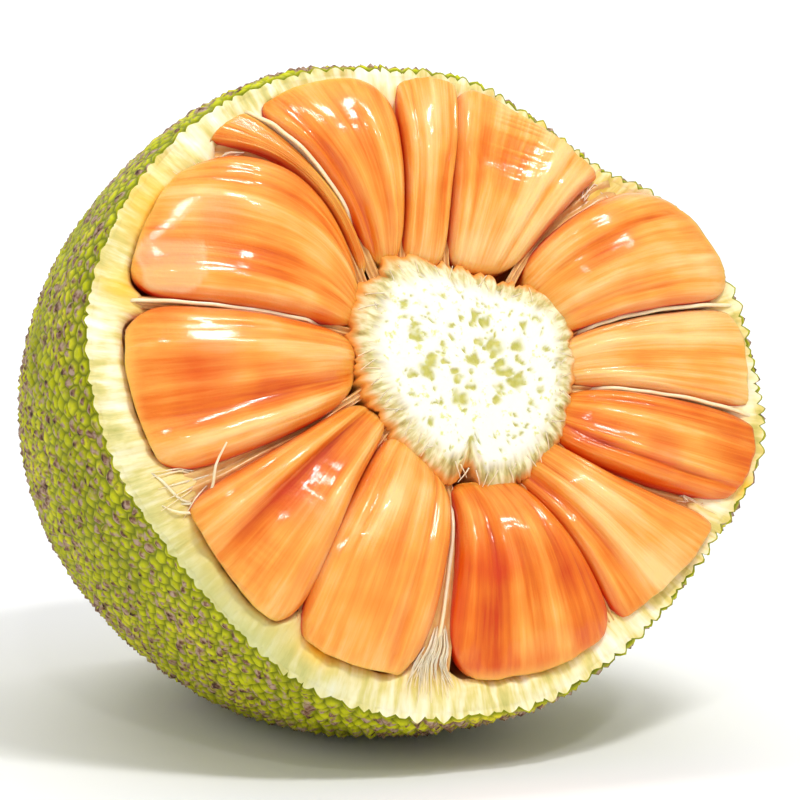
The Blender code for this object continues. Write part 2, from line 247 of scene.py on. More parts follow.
# %% Rind, grown skin, matte and slightly waxy
def rind_material():
    made, tree, shader = new_material("jackfruit_rind", Roughness=0.6, Specular_IOR_Level=0.15)
    where = object_place(tree)
    tip = mark(tree, "tip")
    patches = clouds(tree, where, 28.0, detail=3.0)
    spots = clouds(tree, where, 150.0, detail=3.0)
    grain = clouds(tree, where, 420.0, detail=4.0)
    flank = ramp(tree, patches, (0.32, "aaac0c"), (0.5, "ced018"), (0.68, "eadf34"))
    valley = mixed(tree, patches, "525a06", "8c940e")
    green = mixed(tree, ramp(tree, tip, (0.0, 0.0), (0.5, 1.0)), valley, flank)
    browned = scaled(tree, spots, 1.6, scaled(tree, tip, 0.55))
    ragged = scaled(tree, grain, 0.5, scaled(tree, patches, 0.6, browned))
    cork = ramp(tree, grain, (0.36, "3a2016"), (0.48, "86604a"), (0.62, "b89c86"))
    skin = mixed(tree, between(tree, ragged, 1.57, 1.77), green, cork)
    tree.links.new(skin, shader.inputs["Base Color"])
    add_bump(tree, shader, grain, 1.0 * MM, 0.6)
    return made


RIND = rind_material()

# %% [markdown]
# The white flesh under the skin is wet and fibrous. Its fibres run outwards from the arils to the skin, so
# the pattern is drawn in polar measure: the mesh stores each point's place on a ring round the face and its
# distance from the centre, and the noise is stretched along that distance. Fibres are about 2 mm wide.

# %% Pith, cut and moist
def pith_material():
    made, tree, shader = new_material("jackfruit_pith", Roughness=0.45, Subsurface_Weight=0.15,
                                      Subsurface_Scale=4 * MM, Subsurface_Radius=(1.0, 0.85, 0.5))
    polar = mark(tree, "polar", "Vector")
    greenish_and_painted_shade, stained, painted_seam_shade_and_glow = three_marks(tree, "tint")
    fibres = clouds(tree, stretched(tree, polar, 1.0, 1.0, 0.16), 420.0, detail=5.0)
    both = scaled(tree, fibres, 1.0, clouds(tree, polar, 70.0, detail=3.0))
    pale = ramp(tree, scaled(tree, both, 0.5), (0.34, "b9b35c"), (0.45, "e0d282"), (0.54, "f6ecbe"),
                (0.66, "fffbea"))
    # Partly painted shade: the lower left is greenish and darker.
    flesh = mixed(tree, greenish_and_painted_shade, pale, "b9bd7a")
    flesh = mixed(tree, stained, flesh, "ffc934")
    # Painted glow: deep orange down in the trough, seen in the seams between arils.
    flesh = mixed(tree, painted_seam_shade_and_glow, flesh, "e0561a")
    tree.links.new(flesh, shader.inputs["Base Color"])
    add_bump(tree, shader, both, 1.1 * MM, 0.7)
    return made


PITH = pith_material()

# %% [markdown]
# The core is spongier and whiter than the pith, with yellow-green pores of all sizes on its cut top and
# beige fibres down its torn sides.

# %% Core, spongy, cut and drying
def core_material():
    made, tree, shader = new_material("jackfruit_core", Roughness=0.6, Subsurface_Weight=0.1,
                                      Subsurface_Scale=3 * MM)
    side = mark(tree, "side")
    fine = clouds(tree, object_place(tree), 420.0, detail=3.0)
    top = mixed(tree, between(tree, fine, 0.6, 0.68), "f6f4e2", "dcdc94")
    top = mixed(tree, mark(tree, "pores"), top, mixed(tree, fine, "a09a2c", "d8d072"))
    along_fibres = stretched(tree, mark(tree, "polar", "Vector"), 1.0, 1.0, 0.2)
    strands = clouds(tree, along_fibres, 500.0, detail=4.0)
    torn = ramp(tree, strands, (0.3, "98803c"), (0.46, "cfc07c"), (0.62, "f2eac0"))
    ripe = mixed(tree, strands, "d86a1c", "ffc055")
    flesh = mixed(tree, mark(tree, "rust"), mixed(tree, side, top, torn), ripe)
    tree.links.new(flesh, shader.inputs["Base Color"])
    add_bump(tree, shader, mixed(tree, side, fine, strands), 0.8 * MM, 0.6)
    return made


CORE = core_material()

# %% [markdown]
# An aril is a wet bag of flesh. Light sinks some millimetres in, so it glows; deep in the seams it is painted a
# darker red, as painted shade.
# Fine fibres run along it as paler streaks, and a film of juice, the coat, gives it sharp highlights that the
# streaks break up. The streaks are noise stretched along the aril in its own measure: share of its length,
# place across, and height. Ridges are painted paler and hollows deeper, as painted light and shade, and soft
# clouds of 26 mm vary the tone.

# %% Aril, ripe, wet and translucent
def aril_material():
    made, tree, shader = new_material("jackfruit_aril", Roughness=0.42, IOR=1.38, Specular_IOR_Level=0.3,
                                      Coat_Weight=0.9, Coat_Roughness=0.1, Coat_IOR=1.4,
                                      Subsurface_Weight=0.4, Subsurface_Scale=10 * MM,
                                      Subsurface_Radius=(1.0, 0.32, 0.08))
    where = object_place(tree)
    painted_seam_shade_and_glow, pale, filmed = three_marks(tree, "marks")
    along_aril = stretched(tree, mark(tree, "flesh", "Vector"), 1.8, 11.0, 1.5)
    streaks = clouds(tree, along_aril, 1.0, detail=5.0, roughness=0.62)
    tone = scaled(tree, clouds(tree, where, 38.0), 0.7, scaled(tree, streaks, 0.6, -0.42))
    # Painted light and shade: the ridge mark paints raised relief paler and hollows deeper.
    share = scaled(tree, mark(tree, "ridge"), 0.62, tone)
    flesh = ramp(tree, share, (0.12, "ce4204"), (0.36, "e87818"), (0.6, "f4a646"), (0.84, "facd86"))
    # Painted shade: deep red low on the aril, at its sides and in a few hollows, for the shade of the seams.
    flesh = mixed(tree, painted_seam_shade_and_glow, flesh, "da3006")
    flesh = mixed(tree, pale, flesh, "ffc45c")
    flesh = mixed(tree, filmed, flesh, "f2cf9c")
    tree.links.new(flesh, shader.inputs["Base Color"])
    add_bump(tree, shader, scaled(tree, clouds(tree, where, 900.0), 0.35, streaks), 1.2 * MM, 0.4)
    add_bump(tree, shader, streaks, 1.2 * MM, 0.08, "Coat Normal")
    return made


ARIL = aril_material()

# %% [markdown]
# Thin membranes and loose fibres lie between the arils, cream where they are clean. The scraps of skin that
# are left down in the seams, called rag, are stained orange. Both let light through, so they are of one kind.

# %% Membrane and fibre, thin and wet
def membrane_material(name, dark, light):
    made, tree, shader = new_material(name, Roughness=0.3, Coat_Weight=0.3, Coat_Roughness=0.2,
                                      Subsurface_Weight=0.5, Subsurface_Scale=4 * MM,
                                      Subsurface_Radius=(1.0, 0.8, 0.5))
    mottle = clouds(tree, object_place(tree), 260.0, detail=3.0)
    tree.links.new(mixed(tree, mottle, dark, light), shader.inputs["Base Color"])
    return made


MEMBRANE = membrane_material("jackfruit_membrane", "fcd896", "fff4d0")
RAG = membrane_material("jackfruit_rag", "e08634", "ffcf88")

# %% [markdown]
# ## The rind
# The spines start as points spread evenly on a sphere by the golden angle. The convex hull of such points is
# a mesh of near-equal triangles. Poking each triangle puts a valley point in its middle, and turning the old
# edges round leaves a six-sided pyramid about every point. The sphere is then laid over the fruit so that
# equal areas stay equal, and the face's plane cuts it, which leaves the toothed rim of cut spines.

# %% Spread the spines over the skin
SPINES_ON_SPHERE = 8600
CAP_ANGLE = math.radians(112.0)      # how much of the sphere, from its far pole, reaches the cut face
SPINE_JITTER = 0.32                  # how far a spine strays from its even place, as a share of their spacing
AREA_STEPS, RING_SAMPLES = 400, 12


def skin_area_table():
    """The skin's area from the far end up to a depth behind the face, step by step."""
    table = [(0.0, FRUIT_DEPTH)]
    total, last_radius, last_depth = 0.0, 0.0, FRUIT_DEPTH
    for k in range(1, AREA_STEPS + 1):
        depth = FRUIT_DEPTH * (1 - (k / AREA_STEPS) ** 2)
        ring = [body_point(math.tau * j / RING_SAMPLES, depth) for j in range(RING_SAMPLES)]
        reaches = [math.hypot(u + AXIS_SKEW * depth, v - AXIS_SKEW * depth) for u, v, _ in ring]
        radius = sum(reaches) / RING_SAMPLES
        total += math.pi * (radius + last_radius) * math.hypot(radius - last_radius, depth - last_depth)
        table.append((total, depth))
        last_radius, last_depth = radius, depth
    return table


def depth_at_share(table, share):
    """The depth up to which a share of the skin's area lies; past the whole it is in front of the face."""
    whole = table[-1][0]
    if share >= 1.0:
        return -(share - 1.0) * whole / (math.tau * MEAN_FACE_RADIUS)
    low, high = 0, len(table) - 1
    while high - low > 1:
        middle = (low + high) // 2
        low, high = (middle, high) if table[middle][0] / whole <= share else (low, middle)
    (start_area, start), (end_area, end) = table[low], table[high]
    return start + (end - start) * (share * whole - start_area) / (end_area - start_area)


def spined_sphere(draw):
    """The mesh of spines on the unit sphere, with its tips known by a vertex layer."""
    bm = bmesh.new()
    tip = bm.verts.layers.float.new("tip")
    golden = math.pi * (3 - math.sqrt(5))
    spacing = math.sqrt(4 * math.pi / SPINES_ON_SPHERE)
    for k in range(SPINES_ON_SPHERE):
        z = 1 - 2 * (k + 0.5) / SPINES_ON_SPHERE
        ring = math.sqrt(1 - z * z)
        point = Vector((ring * math.cos(golden * k), ring * math.sin(golden * k), z))
        wander = Vector([draw.uniform(-1, 1) for _ in range(3)]) * SPINE_JITTER * spacing
        bm.verts.new((point + wander).normalized())
    bmesh.ops.convex_hull(bm, input=bm.verts[:])
    tips = bm.verts[:]
    ridges = bm.edges[:]
    bmesh.ops.poke(bm, faces=bm.faces[:])
    bmesh.ops.rotate_edges(bm, edges=ridges)
    for vert in tips:
        vert[tip] = 1.0
    beyond = [v for v in bm.verts if v.co.z > 3 * spacing - math.cos(CAP_ANGLE)]
    bmesh.ops.delete(bm, geom=beyond, context="VERTS")
    bmesh.ops.subdivide_edges(bm, edges=bm.edges[:], cuts=1, use_grid_fill=True)
    return bm, tip


# %% [markdown]
# Each point is then lifted by how near it is to its spine's tip. A blunt spine keeps its height a little way
# down from the tip, so the lift is a soft curve. Spines near the ground are pressed flat, those at the upper
# left are worn smoother than the rest, and all stay a little inside the solid's own outline.

# %% Lay them over the fruit and cut them at the face
FLAT_FADE = 6.0 * MM                 # below this height the spines are pressed down
TIP_WEAR = 0.15 * MM
SMOOTH_PATCH, SMOOTH_REACH = Vector((-95.0, -30.0, 200.0)) * MM, 50 * MM


def lay_spines(bm, tip):
    table = skin_area_table()
    for vert in bm.verts:
        direction = vert.co.normalized()
        angle = math.atan2(direction.y, direction.x)
        depth = depth_at_share(table, (1 + direction.z) / (1 - math.cos(CAP_ANGLE)))
        valley = Vector(body_point(angle, depth, SPINE_HEIGHT))
        peak = Vector(body_point(angle, depth, TIP_WEAR))
        world = place(*valley)
        uneven = 0.8 + 0.5 * noise.noise(world * 120)
        worn = 1 - 0.6 * bell((world - SMOOTH_PATCH).length, 0, SMOOTH_REACH)
        left = 1 - 0.35 * smooth(-20 * MM, -90 * MM, valley.x)
        blunt = 0.5 * (vert[tip] + math.sin(0.5 * math.pi * vert[tip]))
        lift = blunt * clamp(uneven) * worn * left * clamp(world.z / FLAT_FADE)
        vert.co = valley.lerp(peak, lift)
    bmesh.ops.bisect_plane(bm, geom=bm.verts[:] + bm.edges[:] + bm.faces[:], dist=1e-7,
                           plane_co=(0, 0, 0), plane_no=(0, 0, 1), clear_outer=True)


def polar_mark(u, v, across, along):
    """Where a point lies on a ring of the given size, and how far along the fibres it is."""
    radius = max(math.hypot(u, v), MM)
    return Vector((across * u / radius, across * v / radius, along))


# %% [markdown]
# White flesh fills the spines to within half a millimetre of their surface, so the cut rim is a thin line of
# skin and then white. The open edge is drawn in by that much for the line, then in again ring by ring over
# the flesh to the shell's inner wall, and down that wall to its far end. The cut isn't quite flat: it swells
# a little in rays, as fibres pull when the fruit is torn open.

# %% Close the shell and its cut rim
SKIN_LINE = 0.55 * MM
RIM_ROWS, WALL_ROWS_INSIDE = 4, 8
FIBRE_RING = 100.0 * MM      # the ring on which the pith's fibres are counted
PITH_SLOT = 1


def face_swell(u, v):
    """How far the cut white flesh stands up, in rays, at a point of the face."""
    radius = math.hypot(u, v)
    ray = Vector((u, v, 0.0)) / radius
    here = Vector((u, v, 0.0)) * 90
    lobes = 1.3 * noise.noise(ray * 15 + here * 0.25) + 0.7 * noise.noise(ray * 31 + here * 0.3)
    clumps = 0.5 * noise.noise(here * 2.6)
    return (lobes + 1.1 * noise.noise(here) + clumps) * MM


# Yellow stains, each as u, v and size in mm
STAINS = [(-89, 66, 14), (-49, -87, 6), (-105, 38, 7), (60, 92, 6), (112, -42, 6)]


def tint_at(u, v, h=0.0):
    """Where the pith is greenish and darker at the lower left, partly painted shade, stained yellow, or painted
    deep orange in the trough as painted glow.
    """
    radius = math.hypot(u, v)
    angle = math.degrees(math.atan2(v, u)) % 360
    lower_left_painted_shade = bell(angle, 222, 26) * smooth(75 * MM, 100 * MM, radius)
    stain = max(bell(math.hypot(u - x * MM, v - y * MM), 0, size * MM) for x, y, size in STAINS)
    near_arils = 0.35 * smooth(112 * MM, 96 * MM, radius)
    right = 0.18 * smooth(0.2, 0.9, u / max(radius, MM))
    # Painted glow: the pith deep in the trough is painted orange, as light through the arils would colour it.
    painted_seam_shade_and_glow = smooth(-2 * MM, -12 * MM, h)
    return Vector((0.85 * lower_left_painted_shade, 0.8 * stain + near_arils + right, 0.85 * painted_seam_shade_and_glow))


def next_ring(bm, edges, move):
    """Extrude an open loop once, send its new points on and give back its new edges."""
    grown = bmesh.ops.extrude_edge_only(bm, edges=edges)["geom"]
    fresh = {g for g in grown if isinstance(g, bmesh.types.BMVert)}
    for vert in fresh:
        vert.co = move(vert)
    return [g for g in grown if isinstance(g, bmesh.types.BMEdge) and fresh.issuperset(g.verts)]


def rim_point(co, angle, row):
    """The next point inwards over the cut rim, from a point and its angle round the face."""
    share = 1 / (RIM_ROWS - row + 1)
    flat = co.lerp(Vector(body_point(angle, 0.0, RIND_INSET)), share)
    return Vector((flat.x, flat.y, face_swell(flat.x, flat.y) * row / RIM_ROWS))


def wall_point(angle, row):
    """A point on the shell's inner wall, by its angle and its row from the face to the far end."""
    depth = FRUIT_DEPTH * math.sin(0.5 * math.pi * row / WALL_ROWS_INSIDE)
    return Vector(body_point(angle, depth, RIND_INSET))


def make_rind():
    bm, tip = spined_sphere(random.Random(11))
    turn = bm.verts.layers.float.new("turn")
    polar = bm.verts.layers.float_vector.new("polar")
    tint = bm.verts.layers.float_vector.new("tint")
    lay_spines(bm, tip)
    edges = [e for e in bm.edges if e.is_boundary]
    # Painted shade: the skin at the cut rim has its tip mark lowered, so it takes the darker valley green.
    for vert in {v for e in edges for v in e.verts}:
        vert[turn] = math.atan2(vert.co.y, vert.co.x)
        vert[tip] *= 0.3
    edges = next_ring(bm, edges, lambda vert: vert.co * (1 - SKIN_LINE / vert.co.length))
    skin_faces = set(bm.faces)
    for row in range(1, RIM_ROWS + 1):
        edges = next_ring(bm, edges, lambda vert: rim_point(vert.co, vert[turn], row))
    for face in set(bm.faces) - skin_faces:
        face.material_index = PITH_SLOT
    for edge in edges:
        edge.smooth = False
    inner = set()
    for row in range(1, WALL_ROWS_INSIDE + 1):
        edges = next_ring(bm, edges, lambda vert: wall_point(vert[turn], row))
        inner.update(v for e in edges for v in e.verts)
    bmesh.ops.remove_doubles(bm, verts=list({v for e in edges for v in e.verts}), dist=1e-5)
    for vert in bm.verts:
        vert[polar] = polar_mark(vert.co.x, vert.co.y, FIBRE_RING, vert.co.xy.length - vert.co.z)
        vert[tint] = tint_at(vert.co.x, vert.co.y)
        vert.co = above_ground(vert.co, RIND_THICKNESS if vert in inner else 0.0)
    return add_piece("rind_spined", bm, [RIND, PITH], ["rind"])


make_rind()

# %% [markdown]
# ## The seams between the arils
# Thirteen arils share thirteen seams. Each seam is a parabola through an inner, a middle and an outer point
# on the face, with how far the arils draw back from it at its outer end. White flesh reaches in there. The
# band of flesh outside the trough swings from narrow at the right to wide at the lower left, with one dip.

# %% Seams, core and trough
SEAMS = [
    ((54, 15), (82, 21), (120, 23), 0.0),
    ((42, 42), (62, 60), (88, 73), 7.0),
    ((14, 46), (18, 76), (24, 108), 0.0),
    ((-2, 48), (0, 77), (-1, 107), 0.0),
    ((-16, 50), (-32, 78), (-55, 99), 0.0),
    ((-20, 47), (-42, 78), (-77, 84), 4.0),
    ((-27, 21), (-62, 28), (-104, 34), 0.0),
    ((-30, -5), (-62, -20), (-99, -33), 4.5),
    ((-16, -16), (-37, -43), (-60, -84), 0.0),
    ((4, -36), (0, -60), (-13, -103), 4.0),
    ((30, -35), (45, -59), (59, -92), 0.0),
    ((45, -21), (69, -38), (108, -52), 3.0),
    ((56, -3), (85, -8), (122, -18), 0.0),
]
CORE_CENTRE = (16.0 * MM, 4.0 * MM)
CORE_RADII = [34, 38, 31, 32, 41, 40, 34, 31, 33, 37, 36, 34]   # mm, each 30 degrees
MEAN_CORE_RADIUS = sum(CORE_RADII) / len(CORE_RADII) * MM
CORE_SLOPE, CORE_TOP = 0.35, 3.0 * MM
BAND_MEAN, BAND_SWING, BAND_LEAST = 11.0 * MM, 7.0 * MM, 8.2 * MM
BAND_WIDEST_AT = math.radians(215.0)
DIP_AT, DIP_WIDTH, DIP_DEPTH = math.radians(222.0), math.radians(14.0), 4.5 * MM
TROUGH_DEPTH, TROUGH_SLOPE = 24.0 * MM, 0.6


def through(points, s):
    a, b, c = points
    weights = ((1 - s) * (1 - 2 * s), 4 * s * (1 - s), s * (2 * s - 1))
    return [(a[k] * weights[0] + b[k] * weights[1] + c[k] * weights[2]) * MM for k in (0, 1)]


def trough_radius(angle, h):
    band = BAND_MEAN + BAND_SWING * math.cos(angle - BAND_WIDEST_AT)
    band -= DIP_DEPTH * bell(turn_from(DIP_AT, angle), 0, DIP_WIDTH)
    return periodic(FACE_RADII, angle) * MM - max(band, BAND_LEAST) + TROUGH_SLOPE * h


def core_radius(angle, h):
    return periodic(CORE_RADII, angle) * MM - CORE_SLOPE * h


# %% [markdown]
# ## The white flesh
# One sphere's rings are sent in turn down the fruit's outside, across the cut face, down the trough's wall
# and over its floor. At each seam the trough's edge reaches inwards as a wedge between two arils.

# %% Pith
PITH_COLUMNS = 480
BODY_ROWS, FACE_ROWS, WALL_ROWS, FLOOR_ROWS = 8, 10, 8, 6
FRONT_ROWS = FACE_ROWS + WALL_ROWS + FLOOR_ROWS
EDGE_DROP = 1.6 * MM                 # how far the face falls towards the trough's edge


def wedge(seam):
    """The angle of the white wedge in a seam's outer end, how far it reaches in and how wide it is."""
    u, v = through(seam[:3], 1.0)
    drawn_back = seam[3]
    return math.atan2(v, u), (9 + 0.6 * drawn_back) * MM, math.radians(2.8 + 0.4 * drawn_back)


WEDGES = [wedge(seam) for seam in SEAMS]


def trough_edge(angle):
    """The trough's scalloped edge on the face."""
    edge = trough_radius(angle, 0.0)
    for at, reach, width in WEDGES:
        edge -= reach * bell(turn_from(at, angle), 0, width)
    return edge + 0.8 * MM * noise.noise(Vector((math.cos(angle), math.sin(angle), 0)) * 14)


def pith_front(angle, row):
    """A point of the front by its row: the brim first, then the wall and the floor."""
    brim = Vector(body_point(angle, 0.0, RIND_INSET)[:2])
    edge = Vector((math.cos(angle), math.sin(angle))) * trough_edge(angle)
    foot = Vector((math.cos(angle), math.sin(angle))) * trough_radius(angle, -TROUGH_DEPTH)
    if row <= FACE_ROWS:
        share = row / FACE_ROWS
        flat = brim.lerp(edge, share)
        return flat, face_swell(flat.x, flat.y) - EDGE_DROP * smooth(0.75, 1.0, share)
    row -= FACE_ROWS
    if row <= WALL_ROWS:
        share = row / WALL_ROWS
        flat = edge.lerp(foot, share ** 1.4)
        start = face_swell(edge.x, edge.y) - EDGE_DROP
        return flat, start - (TROUGH_DEPTH + start) * share
    share = (row - WALL_ROWS) / FLOOR_ROWS
    return foot.lerp(Vector(CORE_CENTRE), share), -TROUGH_DEPTH


def make_pith():
    bm = bmesh.new()
    polar = bm.verts.layers.float_vector.new("polar")
    tint = bm.verts.layers.float_vector.new("tint")
    on_brim = bm.verts.layers.float.new("on_brim")
    rows = BODY_ROWS + FRONT_ROWS
    bmesh.ops.create_uvsphere(bm, u_segments=PITH_COLUMNS, v_segments=rows, radius=1.0)
    for vert in bm.verts:
        angle, down = sphere_angles(vert.co)
        row = FRONT_ROWS - round(down / math.pi * rows)
        if row < 0:
            depth = FRUIT_DEPTH * math.sin(-0.5 * math.pi * row / BODY_ROWS)
            point = Vector(body_point(angle, depth, RIND_INSET))
        else:
            flat, h = pith_front(angle, row)
            point = Vector((flat.x, flat.y, h))
        vert[polar] = polar_mark(point.x, point.y, FIBRE_RING, point.xy.length - point.z)
        vert[tint] = tint_at(*point)
        vert[on_brim] = float(row == 0)
        vert.co = above_ground(point, RIND_THICKNESS)
    for edge in bm.edges:
        edge.smooth = edge.verts[0][on_brim] + edge.verts[1][on_brim] < 2
    return add_piece("pith_flesh", bm, [PITH], ["pith"])


make_pith()

# %% [markdown]
# ## The core
# The core was cut flush and then stood proud as the arils were pushed apart. Its sides are torn and fluted,
# a groove runs up its lower side, and its top has shallow pores. The pores are round spots of chance size at
# chance places, the larger ones near the middle. They are pressed into the mesh and marked for the material.

# %% Core
CORE_COLUMNS, CORE_CAP_ROWS, COLLAR_ROWS, CORE_SIDE_ROWS = 240, 44, 12, 12
COLLAR_REACH, COLLAR_DROP = 5.5 * MM, 4.0 * MM
GROOVE_AT, GROOVE_WIDTH, GROOVE_DEPTH = math.radians(-99.0), math.radians(6.0), 9.0 * MM
CORE_ROWS, CORE_FOOT = 2 * CORE_CAP_ROWS + COLLAR_ROWS + CORE_SIDE_ROWS, -TROUGH_DEPTH + 0.4 * MM
# Pores by size: how many, how far out they lie as a share, and the least and most radius in mm
PORE_SIZES = ((15, 0.62, 1.9, 3.6), (45, 0.8, 0.9, 1.7), (100, 0.92, 0.5, 0.85))


def scattered_pores(draw):
    """Pores as (u, v, radius): a few large ones near the middle and many small ones all over."""
    pores = []
    for count, spread, least, most in PORE_SIZES:
        for _ in range(count):
            angle = draw.uniform(0, math.tau)
            out = spread * math.sqrt(draw.random()) * core_radius(angle, 0.0)
            pores.append((CORE_CENTRE[0] + out * math.cos(angle), CORE_CENTRE[1] + out * math.sin(angle),
                          draw.uniform(least, most) * MM))
    return pores


PORES = scattered_pores(random.Random(8))


def pore_depth(u, v):
    here = Vector((u, v, 0.0)) * 320
    u += 1.8 * MM * noise.noise(here)
    v += 1.8 * MM * noise.noise(here + Vector((5.0, 0, 0)))
    nearest = min(math.hypot(u - x, v - y) / radius for x, y, radius in PORES)
    return smooth(1.2, 0.5, nearest) * (1.0 + 0.9 * noise.noise(here * 1.3))


def core_ring(row):
    """A ring's share of the way out, how far down the frayed collar it is, and its level."""
    if row <= CORE_CAP_ROWS:
        return row / CORE_CAP_ROWS, 0.0, CORE_TOP
    collar = clamp((row - CORE_CAP_ROWS) / COLLAR_ROWS)
    if row >= CORE_ROWS - CORE_CAP_ROWS:
        return (CORE_ROWS - row) / CORE_CAP_ROWS, collar, CORE_FOOT
    edge = CORE_TOP - COLLAR_DROP * collar ** 1.5
    fallen = max(row - CORE_CAP_ROWS - COLLAR_ROWS, 0) / CORE_SIDE_ROWS
    return 1.0, collar, edge + (CORE_FOOT - edge) * fallen


def make_core():
    bm = bmesh.new()
    polar = bm.verts.layers.float_vector.new("polar")
    side = bm.verts.layers.float.new("side")
    pores = bm.verts.layers.float.new("pores")
    rust = bm.verts.layers.float.new("rust")
    bmesh.ops.create_uvsphere(bm, u_segments=CORE_COLUMNS, v_segments=CORE_ROWS, radius=1.0)
    for vert in bm.verts:
        angle, down = sphere_angles(vert.co)
        row = round(down / math.pi * CORE_ROWS)
        share, out, h = core_ring(row)
        flutes = noise.noise(Vector((math.cos(angle) * 7, math.sin(angle) * 7, h * 25)))
        frays = noise.noise(Vector((math.cos(angle) * 24, math.sin(angle) * 24, h * 60)))
        notch = GROOVE_DEPTH * bell(turn_from(GROOVE_AT, angle), 0, GROOVE_WIDTH)
        ragged = 1 + 0.5 * flutes + 0.35 * frays
        radius = core_radius(angle, 0.0) + 1.2 * MM * flutes + 0.7 * MM * frays - notch
        radius = radius * share + COLLAR_REACH * (out * ragged if share == 1.0 else 0.0)
        if row > CORE_CAP_ROWS + COLLAR_ROWS:
            radius = max(radius, (core_radius(angle, h) - notch) * share)
        u = CORE_CENTRE[0] + radius * math.cos(angle)
        v = CORE_CENTRE[1] + radius * math.sin(angle)
        dent = clamp(pore_depth(u, v)) if row <= CORE_CAP_ROWS else 0.0
        if row <= CORE_CAP_ROWS:
            h += 1.2 * MM * (1 - share * share) - 0.9 * MM * dent
            h -= 1.4 * MM * smooth(0.86, 1.0, share) + 0.5 * MM * smooth(0.8, 1.0, share) * frays
        elif row < CORE_ROWS - CORE_CAP_ROWS:
            h -= 1.4 * MM + (0.9 * flutes + 0.9 * frays) * MM * min(1.0, 3 * out)
        vert[polar] = polar_mark(math.cos(angle), math.sin(angle), MEAN_CORE_RADIUS, radius - h)
        vert[side] = smooth(0.86, 1.02, share + 0.08 * frays + 0.08 * flutes) if row <= CORE_CAP_ROWS else 1.0
        vert[rust] = clamp(smooth(0.35, 1.0, out) + 0.5 * flutes) if out > 0 else 0.0
        vert[pores] = dent
        vert.co = place(u, v, h)
    return add_piece("core_stump", bm, [CORE], ["core"])


make_core()

# %% [markdown]
# ## The arils
# Each aril starts as a sphere whose poles become its two ends. A point is known by its share of the length
# and by its turn round the aril. The turn gives a place across, between the two seams, and a height, and both
# are blunted so that neighbours meet in a narrow seam. Ridges and folds that run lengthwise are then added by
# a list for each aril: where each one lies at the inner and outer end, how wide it is and how deep.

# %% Arils as a table of forms
ARIL_INNER_TOP, ARIL_OUTER_TOP = -2.5 * MM, 3.0 * MM
ARIL_FOOT, ARIL_END_LIFT, ARIL_END_REACH = -22.5 * MM, 13.0 * MM, 7.0 * MM
CREST_PLACE, WIDEST = 0.6, 0.74
INWARD = 0.09                                # how far the arils run on towards the core, as a share of a seam
MEMBRANE_SEAMS = (0, 4, 6, 9, 12)
JOINED_SEAMS = (2, 8)                        # here two arils have grown together at their outer ends
OVERHANGS = {1: 6.5 * MM}                    # one aril bulges over the cut rim, by this much
